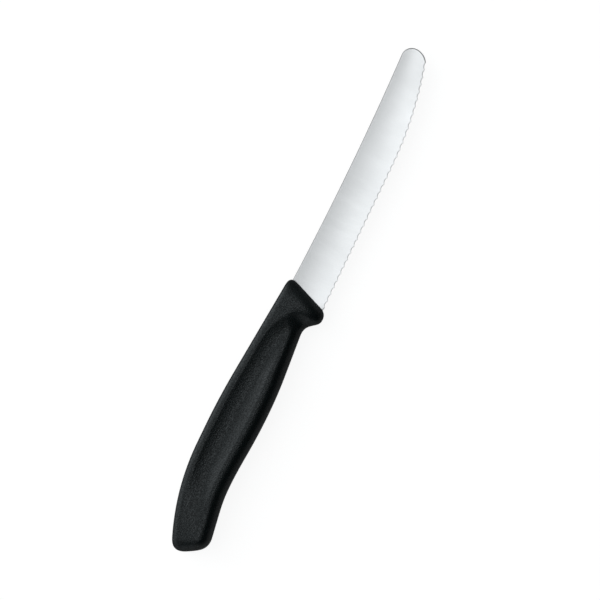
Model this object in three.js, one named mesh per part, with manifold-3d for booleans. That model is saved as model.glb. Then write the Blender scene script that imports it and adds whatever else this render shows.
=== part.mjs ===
// Table knife with a wavy edge: a stamped and ground steel blade whose tang is held in a moulded handle.
// Millimetres. The knife lies on its side: +X runs to the tip, +Y to the back of the blade and +Z up.
// The pieces are drawn about the point where the back of the blade enters the handle, on the blade's
// middle plane. Distances called "behind" run from there towards the butt.

import * as THREE from "three";
import { mergeVertices } from "three/addons/utils/BufferGeometryUtils.js";
import Module from "manifold-3d";

// Blade: outline
const BLADE_REACH = 104.1; // from the handle to the tip, along the back
const BLADE_WIDTH = 16.5; // from the back to the tooth tips
const BACK_HOLLOW = 0.95; // how far the back dips below a straight line
const TIP_BACK_RADIUS = 4.4;
const TIP_EDGE_RADIUS = 6.6;
const EDGE_SWEEP_RADIUS = 157; // the long curve from the straight edge into the tip's round
const HEEL_SETBACK = 0.3; // how far the edge runs into the handle
const HEEL_CHAMFER = 2;

// Blade: section
const BACK_THICKNESS = 1.2;
const EDGE_THICKNESS = 0.3; // before the waves are ground
const GRIND_BEHIND = 8; // where the flat grind starts, inside the handle
const WAVE_PITCH = 3.05;
const WAVE_DEPTH = 0.65;
const WAVE_LEAD = 0.25; // how far the first wave's middle lies past the sweep, on the tip
const WAVE_ANGLE = 20; // degrees between the grinding direction and the blade

// Tang
const TANG_WIDTH = 10;
const TANG_FILLET = 2.5;
const TANG_HOLE_DIAMETER = 5;
const TANG_HOLES = 3;
const TANG_BUTT_COVER = 38.4; // plastic behind the end of the tang

// Handle: outline of the back, as straight runs with blended corners
const FRONT_SLANT = 21.4; // degrees that the front face leans
const BACK_COVER = 1.58; // plastic over the back of the blade, at the front
const FRONT_BLEND = 4;
const CREST_RISE = 6.2; // highest run of the back, above the back of the blade
const CREST_START = 55.9; // behind
const CREST_END = 95.5; // behind
const CREST_BLEND = 12;
const DROOP_BLEND = 20;

// Handle: outline of the butt
const BUTT_BEHIND = 119.7; // upper corner of the butt, before it is blended
const BUTT_DROP = 3.65; // the same corner, below the back of the blade
const BUTT_HEIGHT = 15;
const BUTT_SLANT = 30; // degrees that the butt leans
const BUTT_TOP_BLEND = 6.6;
const BUTT_LOW_BLEND = 4.6;

// Handle: outline of the belly
const GUARD_COVER = 1.25; // plastic under the edge of the blade
const GUARD_BEHIND = 11.6;
const GUARD_FRONT_BLEND = 2.9;
const GUARD_BACK_BLEND = 1.65;
const TANG_COVER = 2.2; // plastic under the tang, at the throat
const THROAT_BEHIND = 16;
const THROAT_BLEND = 3;
const BELLY_SWELL = 2.5; // how far the belly hangs below the throat
const BELLY_START = 44.8; // behind
const BELLY_END = 61.3; // behind
const BELLY_BLEND = 8;
const WAIST_SWELL = 1.1; // how far the waist hangs below the throat
const WAIST_START = 81.3; // behind
const WAIST_END = 91.8; // behind
const WAIST_BLEND = 5;

// Handle: section
const HANDLE_THICKNESS = 13;
const BACK_ROUND = 2.7; // width of the rounded corners along the back
const BACK_DROP = 1.7; // how far these corners fall from the flank
const GRIP_BELLY_ROUND = 6.4;
const COLLAR_BELLY_ROUND = 14;
const COLLAR_END = 6; // behind the front face, where the collar's round starts to tighten
const GRIP_START = 16; // behind the front face, where the grip's round is reached
const FRONT_ROUND = 7; // length of the slope to the front face
const FRONT_INSET = 3.5; // how far this slope falls from the flank
const BUTT_ROUND = 5; // length of the rounded end at the butt
const BUTT_INSET = 4; // how far this end falls from the flank

// Thumb hollow in each flank, which starts in an arc behind the collar and fades towards the butt
const HOLLOW_DEPTH = 1.5;
const HOLLOW_RIDGE = 2.7; // flank left between the hollow and the back
const HOLLOW_FRONT = 6.5; // behind the front face, at the belly end of the arc
const HOLLOW_ARC_LENGTH = 20.5;
const HOLLOW_ARC_WIDTH = 11.8;
const HOLLOW_WALL = 8; // width of the slope down from the ridge along the back
const HOLLOW_FRONT_WALL = 5; // length of the slope at the front end of the arc
const HOLLOW_FLOOR = 5; // from the ridge to where the floor starts to rise to the belly
const HOLLOW_LIP_START = 12; // behind the front face, where the belly's lip starts to rise
const HOLLOW_LIP_END = 35;
const HOLLOW_FADE_START = 75;
const HOLLOW_FADE_END = 100;

// Room left between the steel and the plastic
const MOULD_GAP = 0.3;

// How finely the curves are cut into flats
const HANDLE_RINGS = 60;
const BACK_ROUND_STEPS = 4;
const FLANK_STEPS = 12;
const BELLY_STEPS = 6;
const CURVE_STEPS = 24;
const WAVE_SIDES = 48;
const WELD_DISTANCE = 1e-4;

// Sizes that follow from the ones above
const frontTan = Math.tan(THREE.MathUtils.degToRad(FRONT_SLANT));
const frontCos = Math.cos(THREE.MathUtils.degToRad(FRONT_SLANT));
const buttLean = THREE.MathUtils.degToRad(BUTT_SLANT);
const tangEnd = -(BUTT_BEHIND - TANG_BUTT_COVER);
const heelX = -BLADE_WIDTH * frontTan - HEEL_SETBACK;
const shoulderX = heelX - HEEL_CHAMFER;
const taperAngle = Math.atan((BACK_THICKNESS - EDGE_THICKNESS) / 2 / BLADE_WIDTH);
const tipCentre = new THREE.Vector2(BLADE_REACH - TIP_EDGE_RADIUS, -TIP_BACK_RADIUS);

// The sweep runs on from the straight edge into the tip's round without a corner.
const tipHeight = BLADE_WIDTH - TIP_BACK_RADIUS;
const sweepRun = Math.sqrt((tipHeight - TIP_EDGE_RADIUS) * (2 * EDGE_SWEEP_RADIUS - tipHeight - TIP_EDGE_RADIUS));
const sweepCentre = new THREE.Vector2(tipCentre.x - sweepRun, EDGE_SWEEP_RADIUS - BLADE_WIDTH);
const sweepEndAngle = tipCentre.clone().sub(sweepCentre).angle() - 2 * Math.PI;

const wasm = await Module();
wasm.setup();

// A closed geometry as a solid that can be joined and cut.
function solidOf(geometry) {
  geometry.deleteAttribute("normal");
  geometry.deleteAttribute("uv");
  const welded = mergeVertices(geometry, WELD_DISTANCE);
  const vertProperties = new Float32Array(welded.attributes.position.array);
  const triVerts = new Uint32Array(welded.index.array);
  return new wasm.Manifold(new wasm.Mesh({ numProp: 3, vertProperties, triVerts }));
}

// A solid's surface as a geometry.
function geometryOf(solid) {
  const { vertProperties, triVerts } = solid.getMesh();
  const geometry = new THREE.BufferGeometry();
  geometry.setAttribute("position", new THREE.BufferAttribute(vertProperties, 3));
  geometry.setIndex(new THREE.BufferAttribute(triVerts, 1));
  geometry.computeVertexNormals();
  return geometry;
}

// Outline of the blade and its tang, grown all round by a clearance.
function blankShape(grow) {
  const shoulder = shoulderX - grow;
  const lean = grow * Math.tan(Math.PI / 8);
  const tangLow = -TANG_WIDTH - grow;
  const edgeLow = -BLADE_WIDTH - grow;
  const tangRadius = TANG_WIDTH / 2;
  const backEnd = BLADE_REACH - TIP_BACK_RADIUS;

  const shape = new THREE.Shape();
  shape.moveTo(0, grow);
  shape.quadraticCurveTo(backEnd / 2, grow - 2 * BACK_HOLLOW, backEnd, grow);
  shape.absarc(backEnd, -TIP_BACK_RADIUS, TIP_BACK_RADIUS + grow, Math.PI / 2, 0, true);
  shape.absarc(tipCentre.x, tipCentre.y, TIP_EDGE_RADIUS + grow, 0, sweepEndAngle, true);
  shape.absarc(sweepCentre.x, sweepCentre.y, EDGE_SWEEP_RADIUS + grow, sweepEndAngle, -Math.PI / 2, true);
  shape.lineTo(heelX - lean, edgeLow);
  shape.lineTo(shoulder, -BLADE_WIDTH + HEEL_CHAMFER - lean);
  shape.lineTo(shoulder, tangLow - TANG_FILLET);
  shape.quadraticCurveTo(shoulder, tangLow, shoulder - TANG_FILLET, tangLow);
  shape.absarc(tangEnd + tangRadius, -tangRadius, tangRadius + grow, -Math.PI / 2, Math.PI / 2, true);
  shape.closePath();

  const holeSpacing = (shoulderX - tangEnd) / (TANG_HOLES + 1);
  for (let index = 1; index <= TANG_HOLES; index += 1) {
    const hole = new THREE.Path();
    const holeX = shoulderX - index * holeSpacing;
    hole.absarc(holeX, -tangRadius, TANG_HOLE_DIAMETER / 2 - grow, 0, 2 * Math.PI);
    shape.holes.push(hole);
  }
  return shape;
}

// What the flat grind takes off one face: side is 1 for the upper face and -1 for the lower one.
function taperCutter(side, grow) {
  const length = BLADE_REACH + GRIND_BEHIND + 2 * BLADE_WIDTH;
  const width = 3 * BLADE_WIDTH;
  const height = BLADE_WIDTH;
  const cutter = new THREE.BoxGeometry(length, width, height);
  cutter.translate(length / 2, 0, (side * height) / 2);
  cutter.rotateX(side * taperAngle);
  cutter.translate(grow - GRIND_BEHIND, 0, side * (BACK_THICKNESS / 2 + grow));
  return solidOf(cutter);
}

// The ground blank, grown all round by a clearance and still without its waves.
function groundBlank(grow) {
  const depth = BACK_THICKNESS + 2 * grow;
  const settings = { depth, bevelEnabled: false, curveSegments: CURVE_STEPS };
  const blank = new THREE.ExtrudeGeometry(blankShape(grow), settings);
  blank.translate(0, 0, -depth / 2);
  return solidOf(blank).subtract(taperCutter(1, grow)).subtract(taperCutter(-1, grow));
}

// Middles of the waves along the edge, from the tip to the heel, with the way in from the edge.
function waveMiddles() {
  const sweepLength = (sweepEndAngle + Math.PI / 2) * EDGE_SWEEP_RADIUS;
  const edgeLength = sweepLength + sweepCentre.x - heelX;
  const middles = [];
  for (let along = -WAVE_LEAD; along < edgeLength; along += WAVE_PITCH) {
    const turned = Math.max(sweepLength - along, 0) / EDGE_SWEEP_RADIUS;
    const inward = new THREE.Vector2(-Math.sin(turned), Math.cos(turned));
    const middle = sweepCentre.clone().addScaledVector(inward, -EDGE_SWEEP_RADIUS);
    middle.x -= Math.max(along - sweepLength, 0);
    middles.push({ middle, inward });
  }
  return middles;
}

// One round cut of the wavy edge, ground from the lower face and leaning towards the edge.
function waveCutter({ middle, inward }) {
  const lean = THREE.MathUtils.degToRad(WAVE_ANGLE);
  const sag = WAVE_DEPTH * Math.sin(lean);
  const radius = (WAVE_PITCH / 2) ** 2 / (2 * sag) + sag / 2;
  const deepest = middle.clone().addScaledVector(inward, WAVE_DEPTH);
  const upperFace = BACK_THICKNESS / 2 + deepest.y * Math.tan(taperAngle);

  const along = new THREE.Vector3(inward.x * Math.cos(lean), inward.y * Math.cos(lean), -Math.sin(lean));
  const outward = new THREE.Vector3(-inward.x * Math.sin(lean), -inward.y * Math.sin(lean), -Math.cos(lean));
  const centre = new THREE.Vector3(deepest.x, deepest.y, upperFace).addScaledVector(outward, radius);
  const sideways = new THREE.Vector3().crossVectors(outward, along);
  const placed = new THREE.Matrix4().makeBasis(outward, along, sideways).setPosition(centre);

  const cutter = new THREE.CylinderGeometry(radius, radius, 4 * radius, WAVE_SIDES);
  return solidOf(cutter.applyMatrix4(placed));
}

function bladeGeometry() {
  let blade = groundBlank(0);
  for (const wave of waveMiddles()) {
    blade = blade.subtract(waveCutter(wave));
  }
  return geometryOf(blade);
}

// A path along straight runs whose corners are blended by smooth curves.
function blendedPath(start, corners, end) {
  const path = new THREE.Path();
  path.moveTo(start.x, start.y);
  let before = start;
  corners.forEach(({ at, blend }, index) => {
    const after = index + 1 < corners.length ? corners[index + 1].at : end;
    const lead = Math.min(blend, at.distanceTo(before));
    const trail = Math.min(blend, at.distanceTo(after));
    const enter = at.clone().addScaledVector(before.clone().sub(at).normalize(), lead);
    const leave = at.clone().addScaledVector(after.clone().sub(at).normalize(), trail);
    path.lineTo(enter.x, enter.y);
    path.quadraticCurveTo(at.x, at.y, leave.x, leave.y);
    before = leave;
  });
  path.lineTo(end.x, end.y);
  return path;
}

function point(x, y) {
  return new THREE.Vector2(x, y);
}

// The corners of the butt, before they are blended.
const buttTop = point(-BUTT_BEHIND, -BUTT_DROP);
const buttLow = point(
  buttTop.x + BUTT_HEIGHT * Math.sin(buttLean),
  buttTop.y - BUTT_HEIGHT * Math.cos(buttLean),
);

// Back of the handle, from the front face to the flat of the butt.
function handleBack() {
  const frontTop = point(BACK_COVER * frontTan, BACK_COVER);
  const frontEnd = point(frontTop.x - FRONT_BLEND * frontTan * frontCos, frontTop.y - FRONT_BLEND * frontCos);
  const corners = [
    { at: frontTop, blend: FRONT_BLEND },
    { at: point(-CREST_START, CREST_RISE), blend: CREST_BLEND },
    { at: point(-CREST_END, CREST_RISE), blend: DROOP_BLEND },
    { at: buttTop, blend: BUTT_TOP_BLEND },
  ];
  return blendedPath(frontEnd, corners, buttTop.clone().lerp(buttLow, BUTT_TOP_BLEND / BUTT_HEIGHT));
}

// Belly of the handle, from the front face round the guard to the flat of the butt.
function handleBelly() {
  const guardY = -BLADE_WIDTH - GUARD_COVER;
  const throatY = -TANG_WIDTH - TANG_COVER;
  const bellyY = throatY - BELLY_SWELL;
  const waistY = throatY - WAIST_SWELL;
  const frontLow = point(guardY * frontTan, guardY);
  const frontEnd = point(
    frontLow.x + GUARD_FRONT_BLEND * frontTan * frontCos,
    frontLow.y + GUARD_FRONT_BLEND * frontCos,
  );
  const corners = [
    { at: frontLow, blend: GUARD_FRONT_BLEND },
    { at: point(-GUARD_BEHIND, guardY), blend: GUARD_BACK_BLEND },
    { at: point(-THROAT_BEHIND, throatY), blend: THROAT_BLEND },
    { at: point(-BELLY_START, bellyY), blend: BELLY_BLEND },
    { at: point(-BELLY_END, bellyY), blend: BELLY_BLEND },
    { at: point(-WAIST_START, waistY), blend: WAIST_BLEND },
    { at: point(-WAIST_END, waistY), blend: WAIST_BLEND },
    { at: buttLow, blend: BUTT_LOW_BLEND },
  ];
  return blendedPath(frontEnd, corners, buttLow.clone().lerp(buttTop, BUTT_LOW_BLEND / BUTT_HEIGHT));
}

// How far a point of the outline's plane lies behind the front face.
function behindFront(x, y) {
  return (y * frontTan - x) * frontCos;
}

// How far a point of the outline's plane lies ahead of the butt's flat.
function aheadOfButt(x, y) {
  return (x - buttTop.x) * Math.cos(buttLean) + (y - buttTop.y) * Math.sin(buttLean);
}

// Share of the thickness left near a rounded end, from the distance to that end.
function endShare(distance, round, inset) {
  const short = 1 - THREE.MathUtils.clamp(distance / round, 0, 1);
  const fall = inset * (1 - Math.sqrt(1 - short ** 2));
  return 1 - fall / (HANDLE_THICKNESS / 2);
}

// Depth of the thumb hollow at a distance from the back, on a section whose flank ends at flankEnd.
function hollowDepth(behind, fromBack, flankEnd) {
  const arcBack = HOLLOW_FRONT + HOLLOW_ARC_LENGTH;
  const arcLow = HOLLOW_RIDGE + HOLLOW_ARC_WIDTH;
  const short = Math.max(arcBack - behind, 0) / HOLLOW_ARC_LENGTH;
  const high = Math.max(arcLow - fromBack, 0) / HOLLOW_ARC_WIDTH;
  const far = Math.hypot(short, high);
  const toFront = far > 0 ? (short / far) ** 2 : 0;
  const slope = THREE.MathUtils.lerp(HOLLOW_WALL / HOLLOW_ARC_WIDTH, HOLLOW_FRONT_WALL / HOLLOW_ARC_LENGTH, toFront);
  const wall = 1 - (1 - THREE.MathUtils.clamp((1 - far) / slope, 0, 1)) ** 2;
  const foot = HOLLOW_RIDGE + HOLLOW_FLOOR;
  const towardsBelly = THREE.MathUtils.clamp((fromBack - foot) / Math.max(flankEnd - foot, HOLLOW_FLOOR), 0, 1);
  const lip = THREE.MathUtils.smoothstep(behind, HOLLOW_LIP_START, HOLLOW_LIP_END);
  const fade = 1 - THREE.MathUtils.smoothstep(behind, HOLLOW_FADE_START, HOLLOW_FADE_END);
  return HOLLOW_DEPTH * wall * (1 - lip * towardsBelly ** 2) * fade;
}

// Half of a section, from the middle of the back over the flank to the middle of the belly.
// Each place holds its distance from the back and its height above the middle plane.
function halfSection(back, belly) {
  const half = HANDLE_THICKNESS / 2;
  const width = back.distanceTo(belly);
  const behind = behindFront((back.x + belly.x) / 2, (back.y + belly.y) / 2);
  const tighten = THREE.MathUtils.smoothstep(behind, COLLAR_END, GRIP_START);
  const bellyWanted = THREE.MathUtils.lerp(COLLAR_BELLY_ROUND, GRIP_BELLY_ROUND, tighten);
  const bellyRound = Math.min(bellyWanted, (width * bellyWanted) / (bellyWanted + BACK_ROUND + GRIP_BELLY_ROUND / 2));
  const backRound = Math.min(BACK_ROUND, (width - bellyRound) / 2);
  const flankEnd = width - bellyRound;
  const places = [{ across: 0, height: 0 }];
  for (let step = 0; step <= BACK_ROUND_STEPS; step += 1) {
    const turn = (step / BACK_ROUND_STEPS) * (Math.PI / 2);
    const height = half - BACK_DROP + BACK_DROP * Math.sin(turn);
    places.push({ across: backRound * (1 - Math.cos(turn)), height });
  }
  for (let step = 1; step <= FLANK_STEPS; step += 1) {
    const across = THREE.MathUtils.lerp(backRound, flankEnd, step / FLANK_STEPS);
    places.push({ across, height: half, hollow: 1 });
  }
  for (let step = 1; step <= BELLY_STEPS; step += 1) {
    const turn = (step / BELLY_STEPS) * (Math.PI / 2);
    const share = step === BELLY_STEPS ? 0 : Math.cos(turn);
    places.push({ across: flankEnd + bellyRound * Math.sin(turn), height: half * share, hollow: share });
  }
  return { places, width, flankEnd };
}

// A closed ring of points round the handle, on the section between two points of its outline.
function sectionRing(back, belly) {
  const { places, width, flankEnd } = halfSection(back, belly);
  const upper = places.map(({ across, height, hollow = 0 }) => {
    const at = back.clone().lerp(belly, across / width);
    const behind = behindFront(at.x, at.y);
    const front = endShare(behind, FRONT_ROUND, FRONT_INSET);
    const share = front + endShare(aheadOfButt(at.x, at.y), BUTT_ROUND, BUTT_INSET) - 1;
    const sunk = hollow * hollowDepth(behind, across, flankEnd);
    return new THREE.Vector3(at.x, at.y, (height - sunk) * share);
  });
  const lower = upper.slice(1, -1).reverse();
  return [...upper, ...lower.map(({ x, y, z }) => new THREE.Vector3(x, y, -z))];
}

// A closed skin through rings of equal length, with a flat fan across each end.
function skinThrough(rings) {
  const count = rings[0].length;
  const positions = rings.flat().flatMap(({ x, y, z }) => [x, y, z]);
  const index = [];
  for (let ring = 0; ring + 1 < rings.length; ring += 1) {
    for (let step = 0; step < count; step += 1) {
      const a = ring * count + step;
      const b = ring * count + ((step + 1) % count);
      index.push(a, a + count, b, b, a + count, b + count);
    }
  }
  const last = (rings.length - 1) * count;
  for (let step = 1; step + 1 < count; step += 1) {
    index.push(0, step, step + 1);
    index.push(last, last + step + 1, last + step);
  }
  const skin = new THREE.BufferGeometry();
  skin.setAttribute("position", new THREE.Float32BufferAttribute(positions, 3));
  skin.setIndex(index);
  return skin;
}

function handleGeometry() {
  const back = handleBack();
  const belly = handleBelly();
  const rings = [];
  for (let index = 0; index <= HANDLE_RINGS; index += 1) {
    const along = (1 - Math.cos((Math.PI * index) / HANDLE_RINGS)) / 2;
    rings.push(sectionRing(back.getPoint(along), belly.getPoint(along)));
  }
  return geometryOf(solidOf(skinThrough(rings)).subtract(groundBlank(MOULD_GAP)));
}

function pieceMesh(name, geometry, colour, roughness, metalness) {
  const material = new THREE.MeshStandardMaterial({ color: colour, roughness, metalness });
  const piece = new THREE.Mesh(geometry, material);
  piece.name = name;
  return piece;
}

const knife = new THREE.Group();
knife.add(pieceMesh("blade", bladeGeometry(), 0xd4d6d6, 0.3, 1));
knife.add(pieceMesh("handle", handleGeometry(), 0x1a1a1b, 0.55, 0));

// The origin is on the surface that the knife lies on, below the middle of the knife.
const box = new THREE.Box3().setFromObject(knife);
const middle = box.getCenter(new THREE.Vector3());
knife.position.set(-middle.x, -middle.y, -box.min.z);

const part = new THREE.Group();
part.add(knife);

export default part;
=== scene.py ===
# Table knife with a wavy edge: a satin steel blade that is moulded into a black plastic handle.
# The knife lies on its side: +X runs to the tip, +Y to the back of the blade and +Z up.

import math

import bmesh
import bpy
from bpy.props import FloatProperty, FloatVectorProperty, PointerProperty
from mathutils import Matrix, Vector


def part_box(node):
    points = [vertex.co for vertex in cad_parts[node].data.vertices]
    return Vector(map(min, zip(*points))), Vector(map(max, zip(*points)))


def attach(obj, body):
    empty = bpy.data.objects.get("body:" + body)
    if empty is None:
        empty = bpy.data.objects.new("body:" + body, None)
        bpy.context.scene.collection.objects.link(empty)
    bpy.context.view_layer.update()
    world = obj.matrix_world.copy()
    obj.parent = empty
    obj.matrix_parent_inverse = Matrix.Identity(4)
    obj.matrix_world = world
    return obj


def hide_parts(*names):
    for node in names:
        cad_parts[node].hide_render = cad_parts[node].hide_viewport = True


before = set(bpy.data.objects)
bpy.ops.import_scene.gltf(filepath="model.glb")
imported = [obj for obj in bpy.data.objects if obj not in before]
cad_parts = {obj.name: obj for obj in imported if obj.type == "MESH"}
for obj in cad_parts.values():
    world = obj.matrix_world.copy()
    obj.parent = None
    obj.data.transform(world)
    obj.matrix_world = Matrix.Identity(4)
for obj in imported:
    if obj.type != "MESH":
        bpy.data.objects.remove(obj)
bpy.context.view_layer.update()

bl_info = {
    "name": "Table Knife",
    "version": (1, 0, 0),
    "blender": (4, 5, 0),
    "location": "View3D > Sidebar > Knife",
    "description": "Builds a table knife with a wavy edge around its packed solids",
    "category": "Object",
}

MM = 0.001

# Tip and tang of the blade
TIP_BACK_RADIUS = 4.4 * MM
TIP_EDGE_RADIUS = 6.6 * MM
EDGE_SWEEP_RADIUS = 157 * MM
TIP_EASE_END = math.radians(71)
HEEL_SETBACK = 0.3 * MM
HEEL_CHAMFER = 2 * MM
GRIND_BEHIND = 8 * MM
WAVE_LEAD = 0.25 * MM
TANG_WIDTH = 10 * MM
TANG_FILLET = 2.5 * MM
TANG_END_BEHIND = 81.3 * MM
TANG_HOLE_DIAMETER = 5 * MM
TANG_HOLES = 3

# Outline of the handle, as straight runs with blended corners
FRONT_SLANT = math.radians(21.4)
BACK_COVER = 1.58 * MM
FRONT_BLEND = 4 * MM
CREST_RISE = 6.2 * MM
CREST_START = 55.9 * MM
CREST_END = 95.5 * MM
CREST_BLEND = 12 * MM
DROOP_BLEND = 20 * MM
BUTT_BEHIND = 119.7 * MM
BUTT_DROP = 3.65 * MM
BUTT_HEIGHT = 15 * MM
BUTT_SLANT = math.radians(30)
BUTT_TOP_BLEND = 6.6 * MM
BUTT_LOW_BLEND = 4.6 * MM
GUARD_COVER = 1.25 * MM
GUARD_BEHIND = 11.6 * MM
GUARD_FRONT_BLEND = 2.9 * MM
GUARD_BACK_BLEND = 1.65 * MM
THROAT_DROP = 12.2 * MM
THROAT_BEHIND = 16 * MM
THROAT_BLEND = 3 * MM
BELLY_SWELL = 2.5 * MM
BELLY_START = 44.8 * MM
BELLY_END = 61.3 * MM
BELLY_BLEND = 8 * MM
WAIST_SWELL = 1.1 * MM
WAIST_START = 81.3 * MM
WAIST_END = 91.8 * MM
WAIST_BLEND = 5 * MM

# Section of the handle
GRIP_BELLY_ROUND = 6.4 * MM
COLLAR_BELLY_ROUND = 14 * MM
COLLAR_END = 6 * MM
GRIP_START = 16 * MM
FRONT_INSET = 3.5 * MM
FRONT_ROUND = 7 * MM
BUTT_INSET = 4 * MM
BUTT_ROUND = 5 * MM
PARTING_FLAT = 0.06 * MM

# Thumb hollow
HOLLOW_RIDGE = 2.7 * MM
HOLLOW_FRONT = 6.5 * MM
HOLLOW_ARC_LENGTH = 20.5 * MM
HOLLOW_ARC_WIDTH = 11.8 * MM
HOLLOW_WALL = 8 * MM
HOLLOW_FRONT_WALL = 5 * MM
HOLLOW_FLOOR = 5 * MM
HOLLOW_LIP_START = 12 * MM
HOLLOW_LIP_END = 35 * MM
HOLLOW_FADE_START = 75 * MM
HOLLOW_FADE_END = 100 * MM

# How finely the pieces are cut
HANDLE_RINGS = 100
BACK_ROUND_SEGMENTS = 5
BELLY_SEGMENTS = 10
FLANK_CUTS = 15
BLEND_STEPS = 24
BACK_STEPS = 40
TIP_STEPS = 16
SWEEP_STEPS = 40
FILLET_STEPS = 6
TANG_END_STEPS = 24
HOLE_SIDES = 48
WAVE_SIDES = 288
EASE_SEGMENTS = 3
FACE_CELL = 3 * MM
GRIND_LEVELS = 250
NEAR = 1e-6
BLADE_SHARP_ANGLE = math.radians(6.5)
HANDLE_SHARP_ANGLE = math.radians(60)

# Satin steel: repeats of each noise in a metre along X, Y and Z, then tones as shares of the steel's colour
GRIND_LINES = (9000, 260, 260)
GRIND_LINES_DETAIL = 3
GRIND_BANDS = (420, 70, 70)
SATIN_CLOUD = (60, 60, 60)
SOFT_DETAIL = 2
LINES_SHARE = 0.4
BANDS_SHARE = 0.6
STEEL_METALLIC = 0.85
STREAK_DARK = 0.93
STREAK_LIGHT = 1.07
# Painted shadow line along the wavy edge, standing in for the edge's shadow: its tone, and how far in it is
# full and where it ends
PAINTED_EDGE_SHADE_TONE = 0.35
PAINTED_EDGE_SHADE_FULL = 0.1 * MM
PAINTED_EDGE_SHADE_END = 0.45 * MM
# Painted shade on the sides and the back's rounded corners: its tone, and the upward facing where it starts
# and where it is full
PAINTED_SIDE_SHADE_TONE = 0.4
SIDE_SHADE_START_FACING = 0.99
SIDE_SHADE_FULL_FACING = 0.85
SATIN_SPREAD = 0.05
GRIND_STRENGTH = 0.25
GRIND_RELIEF = 0.003 * MM

# Moulded plastic: its dark and light specks
GRAIN_DETAIL = 2
MOTTLE_DETAIL = 1
MOTTLE_SHARE = 0.9
SPECK_START = 0.38
SPECK_END = 0.62
SPECK_DARK = 0.5
SPECK_LIGHT = 1.5
DULL_TINT = (0.6, 0.625, 0.64)
BRIGHT_TINT = (0.94, 0.98, 1)
PLASTIC_SPECULAR = 0.66
MATT_SPREAD = 0.08
GRAIN_STRENGTH = 1.0
GRAIN_RELIEF = 0.08 * MM

# Light: a bright screen on the back's side, which the shades multiply. In order they are the dark camera
# overhead, a brighter band beside it, a dark wall on the belly's side, dark patches between butt and belly,
# on the tip's side and on the butt's side, and a bright strip low on the back's side.
# Each has an axis, and pairs of degrees from that axis and level.
SCREEN_AXIS = (0.1, 0.466, 1)
SCREEN_LEVELS = ((0, 0.95), (34, 0.95), (53, 0.4), (180, 0.4))
SHADES = (
    ((0, 0.17, 1), ((0, 0.4), (6, 0.45), (20, 1.0), (180, 1.0))),
    ((0, -0.2, 1), ((0, 1.47), (9, 1.47), (22, 1.0), (180, 1.0))),
    ((0, -2.25, 1), ((0, 0.05), (31, 0.05), (49, 1.0), (180, 1.0))),
    ((-0.6, -0.45, 1), ((0, 0.3), (12, 0.3), (27, 1.0), (180, 1.0))),
    ((1.2, -0.1, 1), ((0, 0.25), (30, 0.25), (46, 1.0), (180, 1.0))),
    ((-0.45, 0.1, 1), ((0, 0.1), (12, 0.15), (24, 1.0), (180, 1.0))),
    ((0, 1, 0.2), ((0, 3.0), (12, 3.0), (26, 1.0), (180, 1.0))),
)
SCREEN_TINT = (0.955, 0.985, 1.0)
FLOOR_LIFT = 0.89
FLOOR_GLOSS = 0.05
FLOOR_SIZE = 6
FLOOR_ROUGHNESS = 0.9
HALF_TURN_DEGREES = 180
KEY_PLACE = (0.1, 0.9, 0.55)
KEY_TILT = math.radians(-58)
KEY_LENGTH = 0.9
KEY_WIDTH = 0.5
CAMERA_PLACE = (0.0002, -0.0003)


class KnifeBladeSettings(bpy.types.PropertyGroup):
    """Sizes and finish of the steel blade."""

    reach: FloatProperty(
        name="Reach", description="From the handle to the tip, along the back",
        default=104.1 * MM, min=0.05, unit="LENGTH", precision=4)
    width: FloatProperty(
        name="Width", description="From the back to the points of the wavy edge",
        default=16.5 * MM, min=0.012, unit="LENGTH", precision=4)
    back_hollow: FloatProperty(
        name="Back hollow", description="How far the back dips below a straight line",
        default=0.95 * MM, min=0.0001, unit="LENGTH", precision=5)
    back_thickness: FloatProperty(
        name="Back thickness", description="Thickness of the steel at the back",
        default=1.2 * MM, min=0.0005, unit="LENGTH", precision=5)
    edge_thickness: FloatProperty(
        name="Edge thickness", description="Thickness at the edge before its waves are ground",
        default=0.3 * MM, min=0.0001, unit="LENGTH", precision=5)
    crown: FloatProperty(
        name="Crown", description="How far each ground face bulges out of a flat plane",
        default=0.2 * MM, min=0.0, unit="LENGTH", precision=6)
    back_ease: FloatProperty(
        name="Back ease", description="Width of the rounded corners along the back and tip",
        default=0.4 * MM, min=0.00002, unit="LENGTH", precision=6)
    wave_pitch: FloatProperty(
        name="Wave pitch", description="From one point of the wavy edge to the next",
        default=3.05 * MM, min=0.001, unit="LENGTH", precision=5)
    wave_depth: FloatProperty(
        name="Wave depth", description="How far each wave is ground in from the points",
        default=0.65 * MM, min=0.0001, unit="LENGTH", precision=5)
    wave_angle: FloatProperty(
        name="Wave angle", description="Angle between the grinding wheel and the blade",
        default=math.radians(20), min=0.1, max=1.2, subtype="ANGLE")
    steel_colour: FloatVectorProperty(
        name="Steel colour", description="Colour of the satin steel",
        default=(0.91, 0.912, 0.916), min=0.0, max=1.0, subtype="COLOR")
    satin_roughness: FloatProperty(
        name="Satin roughness", description="How much the satin grind spreads a reflection",
        default=0.2, min=0.05, max=1.0, subtype="FACTOR")


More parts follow.
